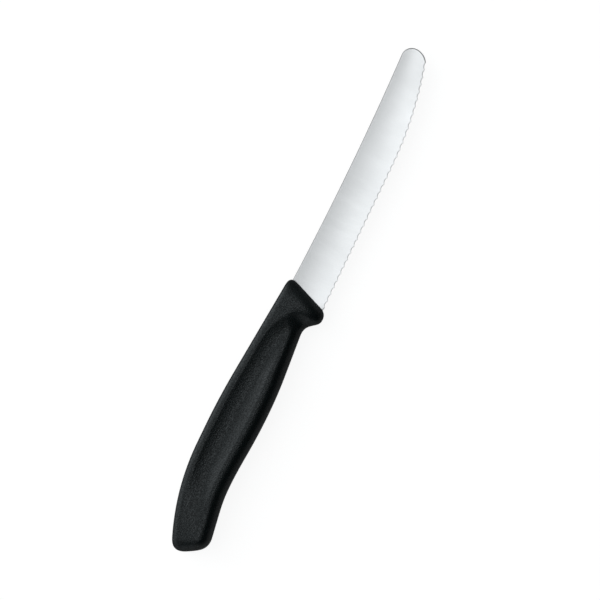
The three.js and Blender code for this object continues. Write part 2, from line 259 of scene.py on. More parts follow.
class KnifeHandleSettings(bpy.types.PropertyGroup):
    """Sizes and finish of the moulded handle."""

    thickness: FloatProperty(
        name="Thickness", description="Thickness of the handle between its flanks",
        default=13 * MM, min=0.006, unit="LENGTH", precision=4)
    back_round: FloatProperty(
        name="Back round", description="Width of the rounded corners along the back",
        default=2.7 * MM, min=0.0002, unit="LENGTH", precision=5)
    back_drop: FloatProperty(
        name="Back drop", description="How far the rounded corners fall from the flank to the back",
        default=1.7 * MM, min=0.0002, unit="LENGTH", precision=5)
    hollow_depth: FloatProperty(
        name="Hollow depth", description="Depth of the thumb hollow in each flank",
        default=1.5 * MM, min=0.0, unit="LENGTH", precision=5)
    plastic_colour: FloatVectorProperty(
        name="Plastic colour", description="Colour of the moulded plastic",
        default=(0.002, 0.005, 0.0055), min=0.0, max=1.0, subtype="COLOR")
    plastic_roughness: FloatProperty(
        name="Plastic roughness", description="How matt the moulded skin is",
        default=0.3, min=0.05, max=1.0, subtype="FACTOR")
    grain_size: FloatProperty(
        name="Grain size", description="Size of the fine grain that the mould leaves",
        default=0.45 * MM, min=0.00005, unit="LENGTH", precision=6)


class KnifeStageSettings(bpy.types.PropertyGroup):
    """Floor, light and camera."""

    floor_colour: FloatVectorProperty(
        name="Floor colour", description="Colour of the plain floor",
        default=(0.3, 0.3, 0.3), min=0.0, max=1.0, subtype="COLOR")
    key_power: FloatProperty(
        name="Key power", description="Power of the broad lamp above the back of the knife",
        default=0.8, min=0.0, unit="POWER")
    camera_height: FloatProperty(
        name="Camera height", description="Height of the camera above the floor",
        default=1.0065, min=0.2, unit="LENGTH")
    field: FloatProperty(
        name="Field", description="Width of what the camera sees at the blade's height",
        default=0.24, min=0.05, unit="LENGTH")
    camera_turn: FloatProperty(
        name="Camera turn", description="How far the camera is turned about the vertical",
        default=math.radians(-64.21), subtype="ANGLE")


def blade_origin(blade):
    """The point where the back of the blade enters the handle, on the blade's middle plane."""
    low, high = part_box("blade")
    return Vector((high.x - blade.reach, high.y, (low.z + high.z) / 2))


def begin_piece(name, add_primitive, **placed):
    """Adds a primitive at its size and place, and opens it for editing with its object at the origin."""
    bpy.ops.object.select_all(action="DESELECT")
    add_primitive(**placed)
    piece = bpy.context.object
    piece.name = name
    piece.data.name = name
    bpy.ops.object.transform_apply(location=True, rotation=True, scale=True)
    bpy.ops.object.mode_set(mode="EDIT")
    return piece


def pick(kind, wanted):
    """Selects just the shown vertices, edges or faces that a test wants, and counts them."""
    bpy.ops.mesh.select_mode(type=kind)
    bpy.ops.mesh.select_all(action="DESELECT")
    mesh = bpy.context.object.data
    shape = bmesh.from_edit_mesh(mesh)
    found = 0
    for item in {"VERT": shape.verts, "EDGE": shape.edges, "FACE": shape.faces}[kind]:
        if not item.hide and wanted(item):
            item.select_set(True)
            found += 1
    bmesh.update_edit_mesh(mesh)
    return found


def apply_modifiers(piece):
    """Applies all of a piece's modifiers, in order."""
    bpy.context.view_layer.objects.active = piece
    for modifier in list(piece.modifiers):
        bpy.ops.object.modifier_apply(modifier=modifier.name)


def cut_away(piece, cutter):
    """Cuts one object's shape out of a piece."""
    cut = piece.modifiers.new("cut", "BOOLEAN")
    cut.operation = "DIFFERENCE"
    cut.solver = "EXACT"
    cut.object = cutter
    apply_modifiers(piece)


def remove(thing):
    """Deletes a helper object."""
    bpy.data.objects.remove(thing)


# Blade


def spin_on(steps, angle, centre):
    """Draws on from the selected vertex along an arc, clockwise for a negative angle."""
    bpy.ops.mesh.spin(steps=steps, angle=-angle, center=centre, axis=(0, 0, 1), use_auto_merge=False)


def draw_to(place):
    """Draws a straight edge on from the selected vertex."""
    mesh = bpy.context.object.data
    last = next(vert for vert in bmesh.from_edit_mesh(mesh).verts if vert.select)
    bpy.ops.mesh.extrude_vertices_move(TRANSFORM_OT_translate={"value": Vector(place) - last.co})


def edge_sweep(blade):
    """Centre of the edge's long curve and the angle where it runs into the tip's round."""
    tip_height = blade.width - TIP_BACK_RADIUS
    across = tip_height - TIP_EDGE_RADIUS
    run = math.sqrt(across * (2 * EDGE_SWEEP_RADIUS - tip_height - TIP_EDGE_RADIUS))
    tip_centre = Vector((blade.reach - TIP_EDGE_RADIUS, -TIP_BACK_RADIUS))
    centre = Vector((tip_centre.x - run, EDGE_SWEEP_RADIUS - blade.width))
    toward_tip = tip_centre - centre
    return centre, math.atan2(toward_tip.y, toward_tip.x)


def heel_place(blade):
    """Where the edge ends inside the handle, behind the front face."""
    return -blade.width * math.tan(FRONT_SLANT) - HEEL_SETBACK


def draw_blank(blade, origin):
    """Draws the outline of blade and tang from one vertex, fills it and gives it its thickness."""
    low = origin.z - blade.back_thickness / 2

    def place(x, y):
        return (origin.x + x, origin.y + y, low)

    back_end = blade.reach - TIP_BACK_RADIUS
    back_radius = (back_end / 2) ** 2 / (2 * blade.back_hollow) + blade.back_hollow / 2
    back_angle = 2 * math.asin(back_end / 2 / back_radius)
    sweep_centre, sweep_end = edge_sweep(blade)
    heel = heel_place(blade)
    shoulder = heel - HEEL_CHAMFER
    tang_round = TANG_WIDTH / 2
    tang_end = -TANG_END_BEHIND + tang_round

    piece = begin_piece("blade_steel", bpy.ops.mesh.primitive_plane_add, size=MM, location=place(0, 0))
    bpy.ops.mesh.merge(type="CENTER")
    spin_on(BACK_STEPS, back_angle, place(back_end / 2, back_radius - blade.back_hollow))
    spin_on(TIP_STEPS, -math.pi / 2, place(back_end, -TIP_BACK_RADIUS))
    spin_on(TIP_STEPS, sweep_end, place(blade.reach - TIP_EDGE_RADIUS, -TIP_BACK_RADIUS))
    spin_on(SWEEP_STEPS, -math.pi / 2 - sweep_end, place(*sweep_centre))
    draw_to(place(heel, -blade.width))
    draw_to(place(shoulder, HEEL_CHAMFER - blade.width))
    draw_to(place(shoulder, -TANG_WIDTH - TANG_FILLET))
    spin_on(FILLET_STEPS, math.pi / 2, place(shoulder - TANG_FILLET, -TANG_WIDTH - TANG_FILLET))
    draw_to(place(tang_end, -TANG_WIDTH))
    spin_on(TANG_END_STEPS, -math.pi, place(tang_end, -tang_round))
    bpy.ops.mesh.select_all(action="SELECT")
    bpy.ops.mesh.remove_doubles(threshold=NEAR)
    bpy.ops.mesh.edge_face_add()
    bpy.ops.mesh.extrude_region_move(TRANSFORM_OT_translate={"value": (0, 0, blade.back_thickness)})
    bpy.ops.mesh.select_all(action="SELECT")
    bpy.ops.mesh.normals_make_consistent(inside=False)
    return piece


def ease_back(blade, origin):
    """Rounds the corners along the back and round the tip."""
    tip_low = origin.y - TIP_BACK_RADIUS - TIP_EDGE_RADIUS * math.sin(TIP_EASE_END)
    tip_start = origin.x + blade.reach - TIP_EDGE_RADIUS
    back_low = origin.y - 2 * blade.back_hollow

    def on_back(edge):
        if abs(edge.verts[0].co.z - edge.verts[1].co.z) > NEAR:
            return False
        return all(
            vert.co.x > origin.x - NEAR
            and (vert.co.y > back_low or (vert.co.x > tip_start and vert.co.y > tip_low))
            for vert in edge.verts
        )

    if not pick("EDGE", on_back):
        raise RuntimeError("the blade has no edges along its back")
    bpy.ops.mesh.bevel(offset=blade.back_ease, segments=EASE_SEGMENTS, profile=0.5, affect="EDGES")


def cut_faces(blade, origin):
    """Cuts the faces of the blade into small cells, so that they can be given their section."""
    start = origin.x - GRIND_BEHIND
    columns = math.ceil((blade.reach + GRIND_BEHIND) / FACE_CELL)
    rows = math.ceil(blade.width / FACE_CELL)
    for column in range(columns):
        bpy.ops.mesh.select_all(action="SELECT")
        bpy.ops.mesh.bisect(plane_co=(start + column * FACE_CELL, 0, 0), plane_no=(1, 0, 0))
    for row in range(1, rows):
        pick("FACE", lambda face: face.calc_center_median().x > start)
        height = origin.y - blade.width * row / rows
        bpy.ops.mesh.bisect(plane_co=(0, height, 0), plane_no=(0, 1, 0))


def grind_faces(blade, origin):
    """Thins the blade from its back to its edge, on faces with a slight crown."""
    start = origin.x - GRIND_BEHIND
    half = blade.back_thickness / 2
    thinning = (blade.back_thickness - blade.edge_thickness) / 2
    sweep_centre, _ = edge_sweep(blade)

    def level(vert):
        past = max(vert.co.x - origin.x - sweep_centre.x, 0)
        edge = sweep_centre.y - math.sqrt(EDGE_SWEEP_RADIUS**2 - past**2)
        share = min(max((vert.co.y - origin.y) / edge, 0), 1)
        return round(share * GRIND_LEVELS)

    shape = bmesh.from_edit_mesh(bpy.context.object.data)
    ground = [vert for vert in shape.verts if vert.co.x > start + NEAR]
    for each in sorted({level(vert) for vert in ground}):
        share = each / GRIND_LEVELS
        left = half - thinning * share + 4 * blade.crown * share * (1 - share)
        pick("VERT", lambda vert: vert.co.x > start + NEAR and level(vert) == each)
        bpy.ops.transform.resize(value=(1, 1, left / half), center_override=origin)


def punch_tang(piece, blade, origin):
    """Punches the holes of the tang, which the plastic fills."""
    shoulder = heel_place(blade) - HEEL_CHAMFER
    spacing = (shoulder + TANG_END_BEHIND) / (TANG_HOLES + 1)
    for index in range(1, TANG_HOLES + 1):
        bpy.ops.object.select_all(action="DESELECT")
        place = origin + Vector((shoulder - index * spacing, -TANG_WIDTH / 2, 0))
        depth = 4 * blade.back_thickness
        bpy.ops.mesh.primitive_cylinder_add(
            vertices=HOLE_SIDES, radius=TANG_HOLE_DIAMETER / 2, depth=depth, location=place)
        punch = bpy.context.object
        cut_away(piece, punch)
        remove(punch)


def wave_places(blade):
    """Middles of the waves along the edge, from the tip to the heel, with the way in from the edge."""
    centre, sweep_end = edge_sweep(blade)
    sweep_length = (sweep_end + math.pi / 2) * EDGE_SWEEP_RADIUS
    edge_length = sweep_length + centre.x - heel_place(blade)
    places = []
    along = -WAVE_LEAD
    while along < edge_length:
        turned = max(sweep_length - along, 0) / EDGE_SWEEP_RADIUS
        inward = Vector((-math.sin(turned), math.cos(turned)))
        middle = centre - inward * EDGE_SWEEP_RADIUS
        middle.x -= max(along - sweep_length, 0)
        places.append((middle, inward))
        along += blade.wave_pitch
    return places


def grind_waves(piece, blade, origin):
    """Grinds the waves of the edge one by one with a round wheel that leans on the lower face."""
    sine, cosine = math.sin(blade.wave_angle), math.cos(blade.wave_angle)
    sag = blade.wave_depth * sine
    radius = (blade.wave_pitch / 2) ** 2 / (2 * sag) + sag / 2
    face_slope = ((blade.back_thickness - blade.edge_thickness) / 2 + 4 * blade.crown) / blade.width
    upper_face = blade.edge_thickness / 2 + blade.wave_depth * face_slope
    bpy.ops.object.select_all(action="DESELECT")
    bpy.ops.mesh.primitive_cylinder_add(vertices=WAVE_SIDES, radius=radius, depth=4 * radius)
    wheel = bpy.context.object
    for middle, inward in wave_places(blade):
        deepest = middle + inward * blade.wave_depth
        axis = Vector((inward.x * cosine, inward.y * cosine, -sine))
        outward = Vector((-inward.x * sine, -inward.y * sine, -cosine))
        sideways = outward.cross(axis)
        centre = Vector((deepest.x, deepest.y, upper_face)) + outward * radius + origin
        turned = Matrix((outward, sideways * -1, axis)).transposed().to_4x4()
        wheel.matrix_world = Matrix.Translation(centre) @ turned
        bpy.context.view_layer.update()
        cut_away(piece, wheel)
    remove(wheel)


def worked_out(tree, operation, *values):
    """Adds a math node for numbers and sockets, and gives its result."""
    node = tree.nodes.new("ShaderNodeMath")
    node.operation = operation
    for socket, value in zip(node.inputs, values):
        if isinstance(value, bpy.types.NodeSocket):
            tree.links.new(value, socket)
        else:
            socket.default_value = value
    return node.outputs["Value"]


def noise(tree, place, scale, detail):
    """Adds a noise that is stretched by a scale for each axis."""
    stretch = tree.nodes.new("ShaderNodeMapping")
    stretch.inputs["Scale"].default_value = scale
    tree.links.new(place, stretch.inputs["Vector"])
    pattern = tree.nodes.new("ShaderNodeTexNoise")
    pattern.inputs["Scale"].default_value = 1.0
    pattern.inputs["Detail"].default_value = detail
    tree.links.new(stretch.outputs["Vector"], pattern.inputs["Vector"])
    return pattern.outputs["Fac"]


def ranged(tree, value, start, end, first, last):
    """Adds a node that maps a value from one range to another."""
    node = tree.nodes.new("ShaderNodeMapRange")
    for name, number in (("From Min", start), ("From Max", end), ("To Min", first), ("To Max", last)):
        node.inputs[name].default_value = number
    tree.links.new(value, node.inputs["Value"])
    return node.outputs["Result"]


def mixed(tree, factor, first, last):
    """Adds a node that mixes two colours."""
    node = tree.nodes.new("ShaderNodeMix")
    node.data_type = "RGBA"
    tree.links.new(factor, node.inputs["Factor"])
    for name, colour in (("A", first), ("B", last)):
        if isinstance(colour, bpy.types.NodeSocket):
            tree.links.new(colour, node.inputs[name])
        else:
            node.inputs[name].default_value = (*colour, 1)
    return node.outputs["Result"]


def from_wavy_edge(tree, place, blade, origin):
    """How far a point of the blade lies in from the wavy edge."""
    centre, sweep_end = edge_sweep(blade)
    sweep_length = (sweep_end + math.pi / 2) * EDGE_SWEEP_RADIUS
    axes = tree.nodes.new("ShaderNodeSeparateXYZ")
    tree.links.new(place, axes.inputs["Vector"])
    ahead = worked_out(tree, "SUBTRACT", axes.outputs["X"], origin.x + centre.x)
    below = worked_out(tree, "SUBTRACT", origin.y + centre.y, axes.outputs["Y"])
    swept = worked_out(tree, "MAXIMUM", ahead, 0)
    swept_square = worked_out(tree, "POWER", swept, 2)
    below_square = worked_out(tree, "POWER", below, 2)
    squares = worked_out(tree, "ADD", swept_square, below_square)
    inside = worked_out(tree, "SUBTRACT", EDGE_SWEEP_RADIUS, worked_out(tree, "SQRT", squares))
    turned = worked_out(tree, "MULTIPLY", worked_out(tree, "ARCTAN2", swept, below), EDGE_SWEEP_RADIUS)
    along = worked_out(tree, "ADD", turned, worked_out(tree, "MINIMUM", ahead, 0))
    from_lead = worked_out(tree, "SUBTRACT", sweep_length + WAVE_LEAD, along)
    counted = worked_out(tree, "MULTIPLY_ADD", from_lead, 1 / blade.wave_pitch, 0.5)
    in_wave = worked_out(tree, "FRACT", counted)
    from_middle = worked_out(tree, "ABSOLUTE", worked_out(tree, "SUBTRACT", in_wave, 0.5))
    middle_square = worked_out(tree, "POWER", from_middle, 2)
    ground = worked_out(tree, "MULTIPLY_ADD", middle_square, -4 * blade.wave_depth, blade.wave_depth)
    from_first = worked_out(tree, "SUBTRACT", -blade.wave_pitch / 2, from_lead)
    return worked_out(tree, "MAXIMUM", worked_out(tree, "SUBTRACT", inside, ground), from_first)


def steel_material(blade, origin):
    """Satin steel, ground across the blade, with painted shade on its sides and the back's rounded corners,
    and a painted shadow line along the wavy edge.
    """
    material = bpy.data.materials.new("satin_steel")
    material.use_nodes = True
    tree = material.node_tree
    shader = tree.nodes["Principled BSDF"]
    shader.inputs["Metallic"].default_value = STEEL_METALLIC
    place = tree.nodes.new("ShaderNodeTexCoord").outputs["Object"]
    lines = noise(tree, place, GRIND_LINES, GRIND_LINES_DETAIL)
    bands = noise(tree, place, GRIND_BANDS, SOFT_DETAIL)
    cloud = noise(tree, place, SATIN_CLOUD, SOFT_DETAIL)

    def steel(share):
        return [min(share * part, 1) for part in blade.steel_colour]

    # Painted shade: darker steel where a face turns away from flat, on the sides and the back's rounded
    # corners
    facing = tree.nodes.new("ShaderNodeNewGeometry")
    height = tree.nodes.new("ShaderNodeSeparateXYZ")
    tree.links.new(facing.outputs["True Normal"], height.inputs["Vector"])
    upright = worked_out(tree, "ABSOLUTE", height.outputs["Z"])
    painted_side_shade = ranged(tree, upright, SIDE_SHADE_START_FACING, SIDE_SHADE_FULL_FACING, 0, 1)
    # Painted shadow: a dark line painted along the wavy edge, standing in for the edge's shadow
    from_edge = from_wavy_edge(tree, place, blade, origin)
    edge = ranged(tree, from_edge, PAINTED_EDGE_SHADE_FULL, PAINTED_EDGE_SHADE_END, 1, 0)

    fine_streaks = worked_out(tree, "MULTIPLY", lines, LINES_SHARE)
    broad_streaks = worked_out(tree, "MULTIPLY", bands, BANDS_SHARE)
    streaks = worked_out(tree, "ADD", fine_streaks, broad_streaks)
    tone = mixed(tree, streaks, steel(STREAK_DARK), steel(STREAK_LIGHT))
    # Mixes in the painted shadow line along the edge, then the painted shade on the sides and rounded
    # corners
    tone = mixed(tree, edge, tone, steel(PAINTED_EDGE_SHADE_TONE))
    tone = mixed(tree, painted_side_shade, tone, steel(PAINTED_SIDE_SHADE_TONE))
    tree.links.new(tone, shader.inputs["Base Color"])

    smoothest = blade.satin_roughness - SATIN_SPREAD
    satin = ranged(tree, cloud, 0, 1, smoothest, blade.satin_roughness + SATIN_SPREAD)
    tree.links.new(satin, shader.inputs["Roughness"])

    relief = tree.nodes.new("ShaderNodeBump")
    relief.inputs["Strength"].default_value = GRIND_STRENGTH
    relief.inputs["Distance"].default_value = GRIND_RELIEF
    tree.links.new(lines, relief.inputs["Height"])
    tree.links.new(relief.outputs["Normal"], shader.inputs["Normal"])
    return material


class KNIFE_OT_blade(bpy.types.Operator):
    """Builds the steel blade with its tang, ground faces and wavy edge."""

    bl_idname = "knife.blade"
    bl_label = "Blade"

    def execute(self, context):
        blade = context.scene.knife_blade
        origin = blade_origin(blade)
        piece = draw_blank(blade, origin)
        ease_back(blade, origin)
        cut_faces(blade, origin)
        grind_faces(blade, origin)
        bpy.ops.object.mode_set(mode="OBJECT")
        punch_tang(piece, blade, origin)
        grind_waves(piece, blade, origin)
        finish_piece(piece, steel_material(blade, origin), BLADE_SHARP_ANGLE)
        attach(piece, "root")
        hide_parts("blade")
        return {"FINISHED"}


# Handle


def blended_path(start, corners, end):
    """Points along straight runs whose corners are blended by smooth curves."""
    points = [start]
    before = start
    for index, (corner, blend) in enumerate(corners):
        after = corners[index + 1][0] if index + 1 < len(corners) else end
        enter = corner + (before - corner).normalized() * min(blend, (before - corner).length)
        leave = corner + (after - corner).normalized() * min(blend, (after - corner).length)
        for step in range(BLEND_STEPS + 1):
            share = step / BLEND_STEPS
            points.append(enter.lerp(corner, share).lerp(corner.lerp(leave, share), share))
        before = leave
    return [*points, end]


def along_path(points, share):
    """The point at a share of the length of a path."""
    lengths = [(after - before).length for before, after in zip(points, points[1:])]
    left = share * sum(lengths)
    for before, after, length in zip(points, points[1:], lengths):
        if left <= length and length > 0:
            return before.lerp(after, left / length)
        left -= length
    return points[-1]


def butt_corners():
    """The upper and lower corner of the butt, before they are blended."""
    top = Vector((-BUTT_BEHIND, -BUTT_DROP))
    return top, top + BUTT_HEIGHT * Vector((math.sin(BUTT_SLANT), -math.cos(BUTT_SLANT)))


def front_point(y):
    """The point of the front face's line at a height."""
    return Vector((y * math.tan(FRONT_SLANT), y))


def handle_back():
    """Back of the handle, from the front face to the flat of the butt."""
    butt_top, butt_low = butt_corners()
    corners = [
        (front_point(BACK_COVER), FRONT_BLEND),
        (Vector((-CREST_START, CREST_RISE)), CREST_BLEND),
        (Vector((-CREST_END, CREST_RISE)), DROOP_BLEND),
        (butt_top, BUTT_TOP_BLEND),
    ]
    start = front_point(BACK_COVER - FRONT_BLEND * math.cos(FRONT_SLANT))
    return blended_path(start, corners, butt_top.lerp(butt_low, BUTT_TOP_BLEND / BUTT_HEIGHT))


def handle_belly(blade):
    """Belly of the handle, from the front face round the guard to the flat of the butt."""
    butt_top, butt_low = butt_corners()
    guard = -blade.width - GUARD_COVER
    belly = -THROAT_DROP - BELLY_SWELL
    waist = -THROAT_DROP - WAIST_SWELL
    corners = [
        (front_point(guard), GUARD_FRONT_BLEND),
        (Vector((-GUARD_BEHIND, guard)), GUARD_BACK_BLEND),
        (Vector((-THROAT_BEHIND, -THROAT_DROP)), THROAT_BLEND),
        (Vector((-BELLY_START, belly)), BELLY_BLEND),
        (Vector((-BELLY_END, belly)), BELLY_BLEND),
        (Vector((-WAIST_START, waist)), WAIST_BLEND),
        (Vector((-WAIST_END, waist)), WAIST_BLEND),
        (butt_low, BUTT_LOW_BLEND),
    ]
    start = front_point(guard + GUARD_FRONT_BLEND * math.cos(FRONT_SLANT))
    return blended_path(start, corners, butt_low.lerp(butt_top, BUTT_LOW_BLEND / BUTT_HEIGHT))


def behind_front(point):
    """How far a point lies behind the front face."""
    return point.y * math.sin(FRONT_SLANT) - point.x * math.cos(FRONT_SLANT)


def ahead_of_butt(point):
    """How far a point lies ahead of the butt's flat."""
    offset = point - butt_corners()[0]
    return offset.x * math.cos(BUTT_SLANT) + offset.y * math.sin(BUTT_SLANT)


def smooth_step(value, low, high):
    """Rises smoothly from 0 at low to 1 at high."""
    share = min(max((value - low) / (high - low), 0), 1)
    return share * share * (3 - 2 * share)


def end_inset(distance, rounding, drop):
    """How far a rounded end has drawn in at a distance from its flat."""
    short = 1 - min(max(distance / rounding, 0), 1)
    return drop * (1 - math.sqrt(1 - short**2))


def hollow_share(behind, across, flank_end):
    """How deep the thumb hollow is at a distance from the back, as a share of its full depth."""
    short = max(HOLLOW_FRONT + HOLLOW_ARC_LENGTH - behind, 0) / HOLLOW_ARC_LENGTH
    high = max(HOLLOW_RIDGE + HOLLOW_ARC_WIDTH - across, 0) / HOLLOW_ARC_WIDTH
    far = math.hypot(short, high)
    side_wall = HOLLOW_WALL / HOLLOW_ARC_WIDTH
    front_wall = HOLLOW_FRONT_WALL / HOLLOW_ARC_LENGTH
    frontal = (short / far) ** 2 if far > 0 else 0
    slope = side_wall + (front_wall - side_wall) * frontal
    wall = 1 - (1 - min(max((1 - far) / slope, 0), 1)) ** 2
    foot = HOLLOW_RIDGE + HOLLOW_FLOOR
    toward_belly = min(max((across - foot) / max(flank_end - foot, HOLLOW_FLOOR), 0), 1)
    lip = smooth_step(behind, HOLLOW_LIP_START, HOLLOW_LIP_END)
    fade = 1 - smooth_step(behind, HOLLOW_FADE_START, HOLLOW_FADE_END)
    return wall * (1 - lip * toward_belly**2) * fade


def shape_section(handle, origin, back, belly):
    """Shapes the plane just added into the handle's section from its back to its belly."""
    across = (belly - back).normalized()
    width = (belly - back).length
    middle = (back + belly) / 2
    behind = behind_front(middle)
    tighten = smooth_step(behind, COLLAR_END, GRIP_START)
    wanted = COLLAR_BELLY_ROUND + (GRIP_BELLY_ROUND - COLLAR_BELLY_ROUND) * tighten
    belly_round = min(wanted, width * wanted / (wanted + handle.back_round + GRIP_BELLY_ROUND / 2))
    back_round = min(handle.back_round, (width - belly_round) / 2)
    flatten = back_round / handle.back_drop
    flank_end = width - belly_round
    half = handle.thickness / 2
    pivot = Vector((middle.x, middle.y, 0)) + origin

    def from_back(vert):
        return (vert.co.xy - origin.xy - back).dot(across)

    pick("VERT", lambda vert: from_back(vert) > half)
    longer = across * (width - handle.thickness)
    bpy.ops.transform.translate(value=(longer.x, longer.y, 0))
    bpy.ops.mesh.select_all(action="SELECT")
    bpy.ops.transform.resize(value=(1, 1, belly_round / half), center_override=pivot)
    pick("VERT", lambda vert: from_back(vert) > NEAR)
    bpy.ops.mesh.bevel(offset=belly_round - PARTING_FLAT, segments=BELLY_SEGMENTS, affect="VERTICES")
    bpy.ops.mesh.select_all(action="SELECT")
    bpy.ops.transform.resize(value=(1, 1, half / belly_round * flatten), center_override=pivot)
    pick("VERT", lambda vert: from_back(vert) < NEAR)
    bpy.ops.mesh.bevel(offset=back_round, segments=BACK_ROUND_SEGMENTS, affect="VERTICES")
    bpy.ops.mesh.select_all(action="SELECT")
    bpy.ops.transform.resize(value=(1, 1, 1 / flatten), center_override=pivot)
    bpy.ops.mesh.delete(type="ONLY_FACE")

    def on_flank(edge):
        ends = sorted(from_back(vert) for vert in edge.verts)
        return abs(ends[0] - back_round) < NEAR and abs(ends[1] - flank_end) < 2 * PARTING_FLAT

    if pick("EDGE", on_flank) != 2:
        raise RuntimeError("a section of the handle hasn't got its two flanks")
    bpy.ops.mesh.subdivide(number_cuts=FLANK_CUTS)
    paint_hollow(origin, from_back, back_round, flank_end, half)
    front_inset = end_inset(behind, FRONT_ROUND, FRONT_INSET)
    inset = front_inset + end_inset(ahead_of_butt(middle), BUTT_ROUND, BUTT_INSET)
    bpy.ops.mesh.select_all(action="SELECT")
    bpy.ops.transform.resize(value=(1, 1, 1 - inset / half), center_override=pivot)


def paint_hollow(origin, from_back, back_round, flank_end, half):
    """Paints the depth of the thumb hollow on the shown section, into its vertex group."""
    mesh = bpy.context.object.data
    shape = bmesh.from_edit_mesh(mesh)
    depth = shape.verts.layers.deform.verify()
    for vert in shape.verts:
        across = from_back(vert)
        if vert.hide or across < back_round - NEAR:
            continue
        reach = 1 if across < flank_end else abs(vert.co.z - origin.z) / half
        vert[depth][0] = reach * hollow_share(behind_front(vert.co.xy - origin.xy), across, flank_end)
    bmesh.update_edit_mesh(mesh)


def section_place(handle, origin, back, belly):
    """Size and place of the plane that a section is shaped from."""
    across = (belly - back).normalized()
    turn = Matrix(((across.x, 0, across.y), (across.y, 0, -across.x), (0, 1, 0)))
    middle = back + across * handle.thickness / 2
    return {
        "size": handle.thickness,
        "location": origin + Vector((middle.x, middle.y, 0)),
        "rotation": turn.to_euler(),
    }


def join_sections():
    """Joins the sections into one closed skin."""
    bpy.ops.mesh.reveal(select=True)
    bpy.ops.mesh.select_mode(type="EDGE")
    bpy.ops.mesh.select_all(action="SELECT")
    bpy.ops.mesh.bridge_edge_loops()
    bpy.ops.mesh.select_all(action="SELECT")
    bpy.ops.mesh.fill_holes(sides=0)
    bpy.ops.mesh.select_all(action="SELECT")
    bpy.ops.mesh.normals_make_consistent(inside=False)


def press_hollows(piece, handle):
    """Presses the painted hollows into the flanks and smooths the skin."""
    press = piece.modifiers.new("hollow", "DISPLACE")
    press.direction = "NORMAL"
    press.mid_level = 0
    press.strength = -handle.hollow_depth
    press.vertex_group = "hollow"
    smooth = piece.modifiers.new("smooth", "SUBSURF")
    smooth.levels = 1
    smooth.render_levels = 1
    apply_modifiers(piece)
    piece.vertex_groups.clear()


def plastic_material(handle):
    """Matt black plastic with the fine grain of an eroded mould."""
    material = bpy.data.materials.new("moulded_plastic")
    material.use_nodes = True
    tree = material.node_tree
    shader = tree.nodes["Principled BSDF"]
    shader.inputs["Specular IOR Level"].default_value = PLASTIC_SPECULAR
    place = tree.nodes.new("ShaderNodeTexCoord").outputs["Object"]
    fine, coarse = 1 / handle.grain_size, MOTTLE_SHARE / handle.grain_size
    grain = noise(tree, place, (fine, fine, fine), GRAIN_DETAIL)
    mottle = noise(tree, place, (coarse, coarse, coarse), MOTTLE_DETAIL)
    speckle = ranged(tree, mottle, SPECK_START, SPECK_END, 0, 1)

    dark = [SPECK_DARK * part for part in handle.plastic_colour]
    light = [SPECK_LIGHT * part for part in handle.plastic_colour]
    tree.links.new(mixed(tree, speckle, dark, light), shader.inputs["Base Color"])
    tint = mixed(tree, speckle, DULL_TINT, BRIGHT_TINT)
    tree.links.new(tint, shader.inputs["Specular Tint"])
    roughest = handle.plastic_roughness + MATT_SPREAD
    matt = ranged(tree, speckle, 0, 1, roughest, handle.plastic_roughness - MATT_SPREAD)
    tree.links.new(matt, shader.inputs["Roughness"])

    relief = tree.nodes.new("ShaderNodeBump")
    relief.inputs["Strength"].default_value = GRAIN_STRENGTH
    relief.inputs["Distance"].default_value = GRAIN_RELIEF
    tree.links.new(worked_out(tree, "ADD", grain, mottle), relief.inputs["Height"])
    tree.links.new(relief.outputs["Normal"], shader.inputs["Normal"])
    return material


class KNIFE_OT_handle(bpy.types.Operator):
    """Builds the moulded handle from sections between its back and its belly."""

    bl_idname = "knife.handle"
    bl_label = "Handle"

    def execute(self, context):
        handle = context.scene.knife_handle
        blade = context.scene.knife_blade
        origin = blade_origin(blade)
        back, belly = handle_back(), handle_belly(blade)
        piece = None
        for index in range(HANDLE_RINGS + 1):
            share = (1 - math.cos(math.pi * index / HANDLE_RINGS)) / 2
            ends = along_path(back, share), along_path(belly, share)
            placed = section_place(handle, origin, *ends)
            if piece is None:
                piece = begin_piece("handle_moulding", bpy.ops.mesh.primitive_plane_add, **placed)
                piece.vertex_groups.new(name="hollow")
            else:
                bpy.ops.mesh.primitive_plane_add(**placed)
            shape_section(handle, origin, *ends)
            bpy.ops.mesh.select_all(action="SELECT")
            bpy.ops.mesh.hide()
        join_sections()
        bpy.ops.object.mode_set(mode="OBJECT")
        press_hollows(piece, handle)
        finish_piece(piece, plastic_material(handle), HANDLE_SHARP_ANGLE)
        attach(piece, "root")
        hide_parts("handle")
        return {"FINISHED"}


def finish_piece(piece, material, sharp_angle):
    """Gives a piece its material and its shading."""
    piece.data.materials.clear()
    piece.data.materials.append(material)
    bpy.ops.object.select_all(action="DESELECT")
    piece.select_set(True)
    bpy.context.view_layer.objects.active = piece
    bpy.ops.object.shade_smooth_by_angle(angle=sharp_angle)


# Stage


def floor_material(stage):
    """Plain pale floor that stays white to the camera and keeps the knife's shadow."""
    material = bpy.data.materials.new("pale_floor")
    material.use_nodes = True
    tree = material.node_tree
    shader = tree.nodes["Principled BSDF"]
    shader.inputs["Base Color"].default_value = (*stage.floor_colour, 1)
    shader.inputs["Roughness"].default_value = FLOOR_ROUGHNESS
    rays = tree.nodes.new("ShaderNodeLightPath").outputs
    seen = worked_out(tree, "MAXIMUM", rays["Is Camera Ray"], rays["Is Transmission Ray"])
    mirrored = worked_out(tree, "MULTIPLY_ADD", rays["Is Glossy Ray"], FLOOR_GLOSS, seen)
    lift = worked_out(tree, "MULTIPLY", mirrored, FLOOR_LIFT)
    shader.inputs["Emission Color"].default_value = (1, 1, 1, 1)
    tree.links.new(lift, shader.inputs["Emission Strength"])
    return material


